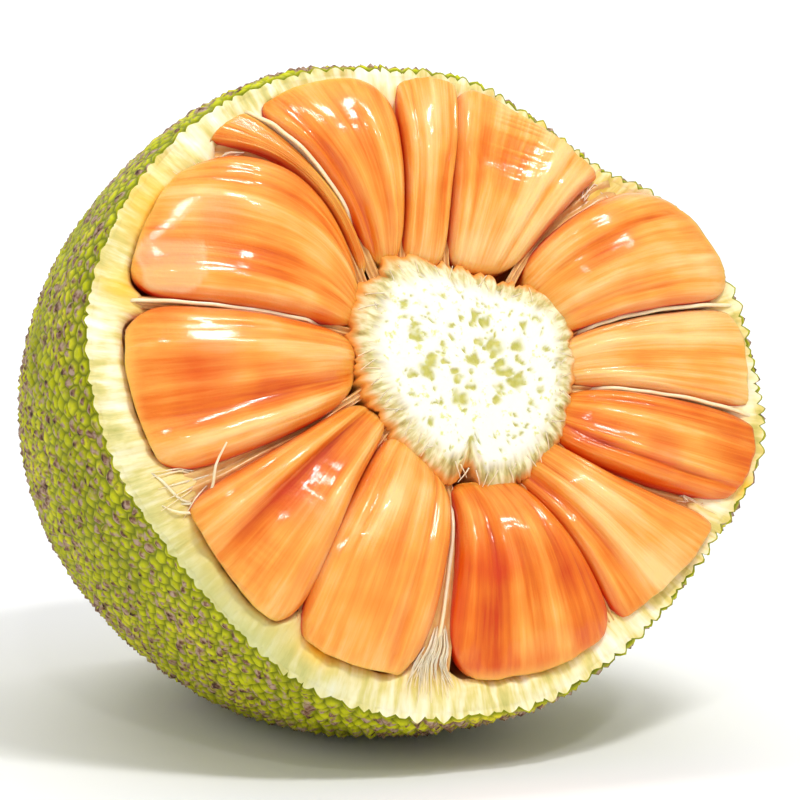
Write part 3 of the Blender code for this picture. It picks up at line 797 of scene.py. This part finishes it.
# For each aril: its crest and how far its counterclockwise side is tilted up, in mm, then its folds. A fold
# is a shape, its place across at the inner and at the outer end, its width across and its size in mm.
ARIL_FORMS = [
    (6, 0, [("crease", -0.3, -0.45, 0.05, 1.2), ("ridge", 0.35, 0.3, 0.16, 1.2),
        ("hollow", 0.0, -0.1, 0.15, 1.0)]),
    (12, 1, [("crease", 0.3, 0.5, 0.05, 2.6), ("ridge", -0.3, -0.35, 0.2, 1.6),
        ("crease", -0.62, -0.7, 0.05, 1.5), ("ridge", 0.1, 0.2, 0.1, 1.0)]),
    (9, 1, [("crease", -0.5, -0.6, 0.05, 2.0), ("ridge", -0.3, -0.4, 0.1, 1.4),
        ("hollow", 0.0, -0.05, 0.14, 1.8), ("ridge", 0.3, 0.28, 0.1, 1.5),
        ("hollow", 0.6, 0.6, 0.12, 1.6)]),
    (9, 0, [("ridge", 0.2, 0.05, 0.2, 1.5), ("hollow", -0.4, -0.4, 0.2, 1.4),
        ("crease", 0.6, 0.55, 0.06, 1.0)]),
    (9, -1, [("ridge", 0.15, 0.3, 0.09, 1.6), ("crease", -0.25, -0.25, 0.05, 1.6),
        ("ridge", -0.08, -0.1, 0.08, 1.3), ("hollow", 0.6, 0.62, 0.15, 2.0),
        ("ridge", -0.5, -0.5, 0.1, 1.2)]),
    (4, 0, [("hollow", 0.0, 0.0, 0.3, 1.0)]),
    (10, 1, [("ridge", -0.35, -0.3, 0.09, 1.6), ("crease", -0.15, -0.12, 0.05, 1.5),
        ("ridge", 0.05, 0.02, 0.08, 1.3), ("crease", 0.3, 0.2, 0.05, 1.2), ("hollow", 0.5, 0.45, 0.16, 1.6),
        ("crease", -0.62, -0.6, 0.05, 1.6)]),
    (10, -2, [("ridge", -0.35, -0.45, 0.14, 2.0), ("ridge", 0.0, -0.1, 0.08, 1.2),
        ("hollow", 0.25, 0.25, 0.25, 3.4), ("ridge", 0.62, 0.7, 0.14, 1.6)]),
    (11, 0, [("ridge", -0.5, -0.55, 0.14, 2.2), ("hollow", -0.15, -0.2, 0.16, 3.8),
        ("ridge", 0.2, 0.15, 0.08, 1.6), ("crease", 0.38, 0.35, 0.05, 1.5),
        ("ridge", 0.6, 0.62, 0.1, 1.2)]),
    (10, 0, [("ridge", -0.35, -0.4, 0.14, 1.6), ("hollow", -0.1, -0.12, 0.1, 1.2),
        ("ridge", 0.2, 0.15, 0.16, 1.6), ("crease", 0.55, 0.5, 0.05, 1.4),
        ("crease", -0.62, -0.65, 0.05, 1.0)]),
    (10, 1, [("ridge", -0.32, -0.2, 0.05, 2.2), ("hollow", -0.5, -0.5, 0.16, 2.2),
        ("ridge", 0.1, 0.35, 0.06, 1.8), ("crease", -0.1, 0.05, 0.06, 1.4),
        ("crease", 0.4, 0.6, 0.05, 1.2)]),
    (9, 2, [("hollow", -0.6, -0.6, 0.16, 2.4), ("ridge", -0.3, -0.3, 0.09, 2.0),
        ("crease", 0.0, -0.05, 0.05, 1.4), ("ridge", 0.3, 0.3, 0.14, 1.4)]),
    (8, 0, [("ridge", -0.3, -0.5, 0.05, 1.6), ("crease", -0.42, -0.62, 0.05, 2.0),
        ("ridge", 0.25, 0.25, 0.14, 1.5), ("crease", 0.02, -0.05, 0.05, 1.4),
        ("hollow", 0.6, 0.6, 0.12, 1.4)]),
]


def seam_gap(index, s):
    index %= len(SEAMS)
    if index in JOINED_SEAMS:
        return 0.12 * MM - 1.1 * MM * smooth(0.4, 0.7, s)
    least = 0.52 * MM if index in MEMBRANE_SEAMS else 0.12 * MM
    waver = 0.5 * MM * s * (0.5 + noise.noise(Vector((s * 5, index * 2.3, 0))))
    return least + max(waver, 0.0) + SEAMS[index][3] * MM * s * s


def clear_of_core(u, v, h):
    du, dv = u - CORE_CENTRE[0], v - CORE_CENTRE[1]
    nearest = core_radius(math.atan2(dv, du), h) + 0.4 * MM
    longer = max(1.0, nearest / math.hypot(du, dv))
    return CORE_CENTRE[0] + du * longer, CORE_CENTRE[1] + dv * longer


def aril_relief(index, s, across):
    """How far the aril's upper skin is raised by its folds and by chance, in metres."""
    relief = 0.0
    for shape, inner, outer, width, size in ARIL_FORMS[index][2]:
        wander = 0.06 * noise.noise(Vector((s * 3, index * 7.3, inner * 5)))
        away = (across - inner - (outer - inner) * s - wander) / width
        rise = math.exp(-abs(away)) if shape == "crease" else math.exp(-away * away)
        relief += size * (rise if shape == "ridge" else -rise)
    relief += 0.7 * noise.noise(Vector((s * 2.0, across * 8, index * 3.7)))
    relief += 0.4 * noise.noise(Vector((s * 5, across * 20, index * 1.9)))
    relief += 1.6 * noise.noise(Vector((s * 2.6, across * 2.0, index * 5.1)))
    return relief * MM * math.sin(math.pi * clamp(s, 0.015, 0.985)) ** 0.5


def aril_heights(index, s):
    """The aril's foot, its widest level and its top at a share of its length."""
    crest = ARIL_FORMS[index][0] * MM
    if s < CREST_PLACE:
        top = ARIL_INNER_TOP + (crest - ARIL_INNER_TOP) * math.sin(0.5 * math.pi * s / CREST_PLACE)
    else:
        top = crest - (crest - ARIL_OUTER_TOP) * ((s - CREST_PLACE) / (1 - CREST_PLACE)) ** 2
    foot = ARIL_FOOT + ARIL_END_LIFT * s ** 4
    return foot, foot + (top - foot) * WIDEST, top


def aril_point(index, s, across, height, relief):
    seam_right, seam_left = SEAMS[index - 1], SEAMS[index]
    along = s * (1 + INWARD) - INWARD
    right, left = through(seam_right[:3], along), through(seam_left[:3], along)
    span = math.dist(left, right)
    gap_right, gap_left = seam_gap(index - 1, s), seam_gap(index, s)
    share = gap_right / span + (1 - (gap_right + gap_left) / span) * 0.5 * (1 + across)
    u = right[0] + (left[0] - right[0]) * share
    v = right[1] + (left[1] - right[1]) * share
    longer = 1 + ARIL_END_REACH * s ** 4 * (1 - across * across) / math.hypot(u, v)
    u, v = u * longer, v * longer
    foot, middle, top = aril_heights(index, s)
    h = middle + ((top - middle) if height > 0 else (middle - foot)) * height
    if height > 0:
        h += height * (relief + ARIL_FORMS[index][1] * MM * across)
    u, v = clear_of_core(u, v, h)
    angle = math.atan2(v, u)
    nicks = noise.noise(Vector((9 * math.cos(angle), 9 * math.sin(angle), index)))
    furthest = trough_radius(angle, h) - (0.2 + 2.0 * max(nicks, 0.0)) * MM
    furthest += OVERHANGS.get(index, 0.0) * smooth(-0.5 * MM, 3.5 * MM, h)
    shrink = min(1.0, furthest / math.hypot(u, v))
    return u * shrink, v * shrink, h


# %% [markdown]
# The marks for the material are worked out with the shape: deep red down in the seams and in a few hollows as
# painted shade, pale yellow at the ends, and a clouded film on the outer end of one aril, where a scrap of
# membrane clings.

# %% Arils
ARIL_COLUMNS, ARIL_ROWS = 84, 96
ARIL_BLUNTNESS, ARIL_SWELL, ARIL_ACROSS, ARIL_HEIGHT = 7.0, 0.32, 0.54, 0.8
# How sharp the crease is where two arils have grown together, by aril and side
JOINED_SIDES = {(2, 1): 0.34, (3, -1): 0.34, (8, 1): 0.42, (9, -1): 0.42}
# Painted light and shade: the relief paints ridges paler and hollows deeper; this much relief takes it from mid
# orange to its palest.
RELIEF_TO_PAINTED_LIGHT = 6.0 * MM    # relief that takes the colour from mid orange to its palest
# How ripe some arils look beside the rest: paler above 0, deeper below
ARIL_TONES = {0: 0.28, 1: 0.12, 2: 0.27, 3: 0.14, 10: -0.2, 11: 0.07, 12: -0.26}
FILMED_ARIL, FILM_CENTRE, FILM_REACH = 6, (-87, 44), (11.5, 9)    # the last two in mm on the face
# Spots of deeper orange, each as u, v and size in mm
DEEP_SPOTS = [(-70, 58, 8), (-80, 8, 12), (-55, -40, 9), (13, -64, 8), (80, -30, 7)]


def aril_marks(s, across, height):
    # Painted shade: deep red low on the aril and at its sides, where it meets its neighbours in the seams.
    painted_seam_shade_and_glow = 0.95 * smooth(0.45, -0.1, height) + 0.5 * smooth(0.8, 1.0, abs(across))
    pale = 0.8 * smooth(0.94, 1.0, s) + 0.6 * smooth(0.06, 0.0, s)
    return clamp(painted_seam_shade_and_glow), clamp(pale)


def film_mark(u, v):
    """The scrap of film: clouded inside a blunt oval, with a thicker and paler border."""
    du = (u / MM - FILM_CENTRE[0]) / FILM_REACH[0]
    dv = (v / MM - FILM_CENTRE[1]) / FILM_REACH[1]
    away = (abs(du) ** 3 + abs(dv) ** 3) ** (1 / 3) + 0.3 * noise.noise(Vector((u, v, 0)) * 90)
    return 0.4 * smooth(1.02, 0.85, away) + 0.22 * bell(away, 0.92, 0.08)


def deep_spot(u, v):
    """Where the flesh shows deepest orange, as it does in hollows that face away from the light."""
    shares = [math.hypot(u - x * MM, v - y * MM) / (size * MM) for x, y, size in DEEP_SPOTS]
    return math.exp(-min(shares) ** 4)


def make_aril(index):
    bm = bmesh.new()
    flesh = bm.verts.layers.float_vector.new("flesh")
    marks = bm.verts.layers.float_vector.new("marks")
    ridge = bm.verts.layers.float.new("ridge")
    bmesh.ops.create_uvsphere(bm, u_segments=ARIL_COLUMNS, v_segments=ARIL_ROWS, radius=1.0)
    for vert in bm.verts:
        turn, down = sphere_angles(vert.co)
        s = 0.5 * (1 - math.cos(down))
        swell = (1 - abs(2 * s - 1) ** ARIL_BLUNTNESS) ** ARIL_SWELL
        side = math.copysign(1, math.cos(turn))
        blunt = JOINED_SIDES.get((index, side), ARIL_ACROSS)
        if blunt < ARIL_ACROSS:
            blunt *= 1 - 0.5 * smooth(0.35, 0.75, s)
        across = swell * side * abs(math.cos(turn)) ** blunt
        height = swell * math.copysign(abs(math.sin(turn)) ** ARIL_HEIGHT, math.sin(turn))
        vert[flesh] = Vector((s + 5 * index, across, height))
        relief = aril_relief(index, s, across) if height > 0 else 0.0
        # Painted light and shade: raised relief is painted paler and hollows deeper, over each aril's own tone.
        vert[ridge] = 0.5 + ARIL_TONES.get(index, 0.0) + relief / RELIEF_TO_PAINTED_LIGHT
        point = aril_point(index, s, across, height, relief)
        film = film_mark(*point[:2]) if index == FILMED_ARIL and height > 0 else 0.0
        painted_seam_shade_and_glow, pale = aril_marks(s, across, height)
        vert[marks] = Vector((max(painted_seam_shade_and_glow, 0.35 * deep_spot(*point[:2])), pale, film))
        vert.co = place(*point)
    node = f"aril_{index + 1:02d}"
    return add_piece(node + "_flesh", bm, [ARIL], [node])


for index in range(len(SEAMS)):
    make_aril(index)

# %% [markdown]
# ## Membranes
# Pale skins stand in five of the seams, between two arils that don't quite touch. Each has a rounded lip
# along its crest, which catches the light as a cream line. A grid is given its wall while flat, because a
# bent grid would cross itself where it turns sharply, and is then bent along its seam.

# %% Sheets that follow a seam
SHEET_COLUMNS, SHEET_ROWS = 60, 14
SEAM_STEP = 0.01                     # a step along a seam, as a share of it


def add_sheet(bm):
    """A flat sheet that is one unit long, high and thick; gives back its points."""
    earlier = set(bm.verts)
    grid = bmesh.ops.create_grid(bm, x_segments=SHEET_COLUMNS, y_segments=SHEET_ROWS, size=0.5)["verts"]
    bmesh.ops.solidify(bm, geom=list({f for v in grid for f in v.link_faces}), thickness=1.0)
    return [v for v in bm.verts if v not in earlier]


def seam_frame(seam, s):
    """A point of a seam on the face, and the direction across the seam there."""
    here, ahead = (Vector(through(SEAMS[seam][:3], s + step)) for step in (0.0, SEAM_STEP))
    return here, Vector((here.y - ahead.y, ahead.x - here.x)).normalized()


# %% [markdown]
# The crest rises from the core's edge to the level given for each seam and sinks into the white flesh at the
# outer end. The lip is a half circle added to the wall's thickness just under the crest.

# %% Membranes
MEMBRANES = [(0, 4.2), (4, 4.8), (6, 5.0), (9, 2.0), (12, 4.2)]      # the seam and its crest's level in mm
MEMBRANE_THICKNESS, MEMBRANE_DEPTH = 0.6 * MM, 14 * MM
LIP_RADIUS, LIP_SWELL = 0.75 * MM, 0.7 * MM


def crest_level(seam, crest, s):
    level = ARIL_INNER_TOP + (crest * MM - ARIL_INNER_TOP) * math.sin(0.5 * math.pi * clamp(1.5 * s))
    wave = 0.9 * noise.noise(Vector((s * 6, seam * 3.3, 0)))
    sunk = 5 * smooth(0.22, 0.06, s) + 3.5 * smooth(0.8, 0.96, s) + 4 * smooth(0.95, 1.01, s)
    return level + (wave - sunk) * MM


def make_membranes():
    bm = bmesh.new()
    for seam, crest in MEMBRANES:
        for vert in add_sheet(bm):
            s = 0.06 + 0.95 * (vert.co.x + 0.5)
            below = MEMBRANE_DEPTH * (0.5 - vert.co.y) ** 1.8        # rows lie closer together near the crest
            here, side = seam_frame(seam, s)
            sway = 0.3 * MM * noise.noise(Vector((s * 9, seam * 5.7, 100 * below)))
            lip = LIP_SWELL * max(1 - (below / LIP_RADIUS - 1) ** 2, 0.0) ** 0.5
            flat = here + side * (sway + (abs(vert.co.z) - 0.5) * (MEMBRANE_THICKNESS + lip))
            vert.co = place(flat.x, flat.y, crest_level(seam, crest, s) - below)
    return add_piece("membranes", bm, [MEMBRANE])


make_membranes()

# %% [markdown]
# ## Rag and fibres
# Rag is what is left of the skins between arils. It lies in folds down in every seam and shows where a seam
# is wide and at its ends. Each fold is a sheet laid along its seam and tucked under both arils.

# %% Folds of rag
RAG_TUCK, RAG_DROP, RAG_FOLDS, RAG_THICKNESS = 1.6 * MM, 1.2 * MM, 0.7 * MM, 0.6 * MM
RAG_INNER_RISE, RAG_START = 4.0 * MM, -0.18


def seam_end(seam):
    """The share of a seam at which it reaches the trough's wall."""
    s = 1.02
    while s > 0.8:
        u, v = through(SEAMS[seam][:3], s)
        if math.hypot(u, v) < trough_radius(math.atan2(v, u), 0.0) - 0.5 * MM:
            break
        s -= SEAM_STEP
    return s


def make_rag():
    bm = bmesh.new()
    for seam in range(len(SEAMS)):
        last = seam_end(seam)
        for vert in add_sheet(bm):
            s, across = RAG_START + (last - RAG_START) * (vert.co.x + 0.5), 2 * vert.co.y
            here, side = seam_frame(seam, s)
            flat = here + side * across * (seam_gap(seam, s) + RAG_TUCK)
            beside = [aril_heights(k % len(SEAMS), max(s, 0.0)) for k in (seam, seam + 1)]
            level = min(middle for _, middle, _ in beside) - RAG_DROP
            wander = 2.5 * noise.noise(Vector((s * 4, seam * 3.1, 0)))
            folds = RAG_FOLDS * math.sin(7 * across + wander)
            rise = RAG_INNER_RISE * smooth(0.25, 0.0, s)
            h = level + folds + rise - RAG_THICKNESS * abs(vert.co.z)
            vert.co = place(*clear_of_core(flat.x, flat.y, h), h)
    return add_piece("rag_folds", bm, [RAG])


make_rag()

# %% [markdown]
# A fibre is a round-bevelled curve through a few points, thickest in its middle. Fibres fan out of the seams'
# outer ends, most of them in the wide seam below, and three long torn strands lie loose at the lower left.

# %% Fibres out of the seams
CURLED_STRAND = [(-92, -36, 0, 0.3), (-86, -36, 1, 0.7), (-82, -32, 4, 0.6), (-81, -25, 8, 0.5),
                 (-77, -18, 10, 0.3)]
LOW_STRAND = [(-99, -36, 0, 0.2), (-93, -39, 1, 0.5), (-84, -39, 2, 0.5), (-76, -35, 3, 0.4),
              (-69, -29, 3, 0.2)]
CROSSED_STRAND = [(-102, -24, -1, 0.2), (-98, -28, 1, 0.5), (-93, -34, 1, 0.5), (-88, -36, 0, 0.3)]
SEAM_FIBRES = ((9, 34), (7, 6), (5, 5), (1, 5), (11, 5), (12, 4))    # a seam and how many fibres leave it


def along_points(points, s):
    """A smooth curve through points, from its start at 0 to its end at 1."""
    x = clamp(s) * (len(points) - 1)
    i = min(int(x), len(points) - 2)
    f = x - i
    a, b, c, d = (Vector(points[max(0, min(len(points) - 1, i + k))]) for k in (-1, 0, 1, 2))
    return b + 0.5 * f * (c - a + f * (2 * a - 5 * b + 4 * c - d + f * (3 * (b - c) + d - a)))


def make_fibres(name, paths):
    """Thin round fibres; a path is a list of (u, v, h, radius) in mm."""
    curve = bpy.data.curves.new(name, "CURVE")
    curve.dimensions = "3D"
    curve.bevel_depth = 1.0
    curve.bevel_resolution = 1
    curve.use_fill_caps = True
    for path in paths:
        spline = curve.splines.new("POLY")
        steps = 3 * (len(path) - 1)
        spline.points.add(steps)
        for k, point in enumerate(spline.points):
            u, v, h, radius = along_points(path, k / steps)
            point.co = (*place(u * MM, v * MM, h * MM), 1.0)
            point.radius = radius * MM
    holder = bpy.data.objects.new(name, curve)
    bpy.context.scene.collection.objects.link(holder)
    bpy.context.view_layer.update()
    bm = bmesh.new()
    bm.from_mesh(holder.evaluated_get(bpy.context.evaluated_depsgraph_get()).to_mesh())
    bpy.data.objects.remove(holder)
    return add_piece(name, bm, [MEMBRANE])


def seam_fibres(seam, count, draw):
    """Paths of fibres that fan out of a seam's outer end and stay inside the white flesh."""
    end, inner = (Vector(through(SEAMS[seam][:3], s)) / MM for s in (1.0, 0.72))
    flesh_edge = periodic(FACE_RADII, math.atan2(end.y, end.x)) - RIND_INSET / MM
    end *= min(1.0, 0.92 * flesh_edge / end.length)
    side = Vector((end.y, -end.x)).normalized()
    paths = []
    for _ in range(count):
        spread = draw.uniform(-1, 1) * (2.5 + 0.7 * SEAMS[seam][3])
        foot = end * draw.uniform(0.97, 1.06) + side * spread * draw.uniform(1.2, 2.2)
        near = 0.93 * end + side * spread * 1.1
        middle = 0.5 * (end + inner) + side * spread * 0.8
        thick = draw.uniform(0.18, 0.36)
        paths.append([(*foot, draw.uniform(0.2, 1.6), 0.1), (*near, 1.2, thick),
                      (*middle, draw.uniform(-1, 2), thick), (*inner, draw.uniform(-3, 0), 0.2)])
    return paths


draw = random.Random(5)
fibre_paths = [CURLED_STRAND, LOW_STRAND, CROSSED_STRAND]
for seam, count in SEAM_FIBRES:
    fibre_paths += seam_fibres(seam, count, draw)
make_fibres("seam_fibres", fibre_paths)

# %% [markdown]
# Round the core's rim the torn flesh ends in short fibres, which bend down over the frayed collar.

# %% Fibres round the core
RIM_FIBRES, RIM_STEPS = 60, 3


def rim_fibre(k, draw):
    angle = math.tau * (k + draw.random()) / RIM_FIBRES
    start = core_radius(angle, 0.0) / MM - 1.5
    lean = draw.uniform(-0.12, 0.12)
    length = draw.uniform(3.0, 6.0)
    path = []
    for step in range(RIM_STEPS + 1):
        out = start + length * step / RIM_STEPS
        turned = angle + lean * step / RIM_STEPS
        u, v = CORE_CENTRE[0] / MM + out * math.cos(turned), CORE_CENTRE[1] / MM + out * math.sin(turned)
        path.append((u, v, 1.8 - 0.2 * step * step + draw.uniform(-0.2, 0.3), 0.3 - 0.05 * step))
    return path


make_fibres("core_rim_fibres", [rim_fibre(k, draw) for k in range(RIM_FIBRES)])

# %% [markdown]
# ## Floor, light and camera
# A pale sweep stands in for the studio. The camera looks from the photograph's side: a little above, from the
# left, far enough away that the face hardly tapers.

# %% Sweep
SWEEP_WIDTH, SWEEP_FRONT, SWEEP_BACK, SWEEP_HEIGHT, SWEEP_BEND = 8.0, -4.0, 2.6, 4.0, 1.0
BEND_STEPS = 12


def make_sweep():
    """A sheet of paper that lies on the ground and bends up behind."""
    bm = bmesh.new()
    profile = [(SWEEP_FRONT, 0.0), (SWEEP_BACK - SWEEP_BEND, 0.0)]
    for k in range(1, BEND_STEPS + 1):
        turn = 0.5 * math.pi * k / BEND_STEPS
        profile.append((SWEEP_BACK - SWEEP_BEND * (1 - math.sin(turn)), SWEEP_BEND * (1 - math.cos(turn))))
    profile.append((SWEEP_BACK, SWEEP_HEIGHT))
    verts = [bm.verts.new((-0.5 * SWEEP_WIDTH, y, z)) for y, z in profile]
    edges = [bm.edges.new(pair) for pair in zip(verts, verts[1:])]
    grown = bmesh.ops.extrude_edge_only(bm, edges=edges)["geom"]
    moved = [g for g in grown if isinstance(g, bmesh.types.BMVert)]
    bmesh.ops.translate(bm, vec=(SWEEP_WIDTH, 0, 0), verts=moved)
    bmesh.ops.recalc_face_normals(bm, faces=bm.faces[:])
    mesh = bpy.data.meshes.new("studio_sweep")
    bm.to_mesh(mesh)
    bm.free()
    mesh.shade_smooth()
    paper, _, _ = new_material("matt_white_paper", Roughness=0.9, Base_Color=(0.92, 0.92, 0.92, 1.0))
    mesh.materials.append(paper)
    sweep = bpy.data.objects.new("studio_sweep", mesh)
    bpy.context.scene.collection.objects.link(sweep)


make_sweep()

# %% [markdown]
# The photograph has soft light from all round and a few small bright lamps, which show as short white strokes
# on the wet arils. So a bright sky and a wide fill light the fruit, and neither the fill nor the backdrop
# lamp shows in reflections. A softbox and two small lamps overhead make the strokes.

# %% Lights
AIM = (0.0, -0.06, 0.13)
BEHIND = (0.0, 2.6, 0.9)
# Each light: its place, what it is aimed at, its two sizes in metres, its watts and whether it is reflected
LIGHTS = {
    "overhead_softbox": ((0.15, -0.7, 1.2), AIM, (0.3, 0.13), 7.0, True),
    "front_fill": ((-1.1, -1.5, 0.7), AIM, (1.2, 1.2), 6.4, False),
    "small_lamp": ((0.3, -0.75, 0.95), AIM, (0.1, 0.06), 1.8, True),
    "second_small_lamp": ((-0.35, -0.9, 0.9), AIM, (0.07, 0.05), 1.1, True),
    "backdrop_lamp": ((0.0, 0.9, 2.4), BEHIND, (2.5, 0.6), 60.0, False),
}
SKY_STRENGTH = 0.43


def add_light(name, at, aim, size, watts, reflected):
    data = bpy.data.lights.new(name, "AREA")
    data.shape = "RECTANGLE"
    data.size, data.size_y = size
    data.energy = watts
    lamp = bpy.data.objects.new(name, data)
    lamp.location = at
    lamp.visible_glossy = reflected
    lamp.rotation_euler = (Vector(aim) - Vector(at)).to_track_quat("-Z", "Y").to_euler()
    bpy.context.scene.collection.objects.link(lamp)


for name, settings in LIGHTS.items():
    add_light(name, *settings)
world = bpy.data.worlds.new("studio")
bpy.context.scene.world = world
world.use_nodes = True
sky = world.node_tree.nodes["Background"]
sky.inputs["Color"].default_value = (1.0, 1.0, 1.0, 1.0)
sky.inputs["Strength"].default_value = SKY_STRENGTH
bpy.context.scene.view_settings.view_transform = "Standard"
print(len(LIGHTS), "lights of", sum(settings[3] for settings in LIGHTS.values()), "watts in all")

# %% [markdown]
# The camera looks along a line that is given by two angles, at a point near the middle of the face. Its lens
# follows from its distance and from how much the picture takes in at the face.

# %% Camera
CAMERA_AZIMUTH, CAMERA_ELEVATION = math.radians(-20.5), math.radians(8.0)
CAMERA_DISTANCE = 1.3
FRAME_WIDTH = 272 * MM               # across the view at the face
SENSOR_WIDTH = 36.0
AIM_RIGHT, AIM_UP = -10.2 * MM, -5.4 * MM    # from the face's own middle to the picture's
back = Vector((math.sin(CAMERA_AZIMUTH) * math.cos(CAMERA_ELEVATION),
               -math.cos(CAMERA_AZIMUTH) * math.cos(CAMERA_ELEVATION), math.sin(CAMERA_ELEVATION)))
to_right = Vector((math.cos(CAMERA_AZIMUTH), math.sin(CAMERA_AZIMUTH), 0.0))
aim = place(0.0, AIM_UP, 0.0) + AIM_RIGHT * to_right
lens = bpy.data.cameras.new("camera")
lens.sensor_width = SENSOR_WIDTH
lens.lens = SENSOR_WIDTH * CAMERA_DISTANCE / FRAME_WIDTH
camera = bpy.data.objects.new("camera", lens)
camera.location = aim + CAMERA_DISTANCE * back
camera.rotation_euler = back.to_track_quat("Z", "Y").to_euler()
bpy.context.scene.collection.objects.link(camera)
bpy.context.scene.camera = camera
print("the camera is", round(CAMERA_DISTANCE, 2), "m away with a", round(lens.lens), "mm lens")
